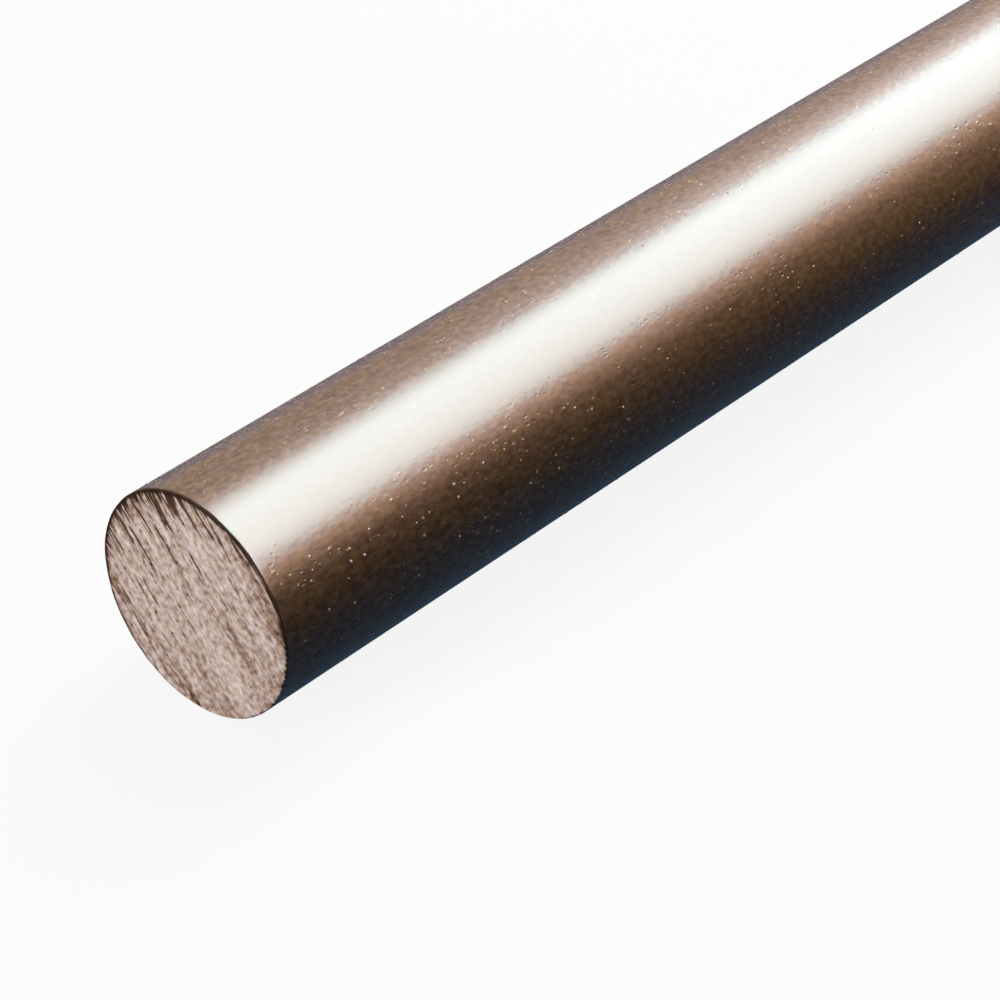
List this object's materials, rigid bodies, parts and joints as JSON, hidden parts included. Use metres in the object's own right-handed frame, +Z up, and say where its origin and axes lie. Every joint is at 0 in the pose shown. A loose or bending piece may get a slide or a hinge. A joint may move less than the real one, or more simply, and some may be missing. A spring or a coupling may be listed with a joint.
{
  "type": "pvc round rod",
  "caption": "Solid round rod of rigid PVC, extruded with a glossy skin and sawn square at both ends: bar stock to turn, drill or cut into pins, rollers and spacers.",
  "frame": {"origin": "middle of the rod's length, on the line along which it touches the surface that it lies on", "axes": "+X along the rod's axis, from the end nearest the picture's camera to the far end; +Z up"},
  "size_m": [0.5, 0.03, 0.03],
  "materials": {
    "pvc": "glossy extruded skin, with matt sawn ends in a paler shade"
  },
  "bodies": {
    "root": {"round_rod": "pvc"}
  },
  "joints": []
}
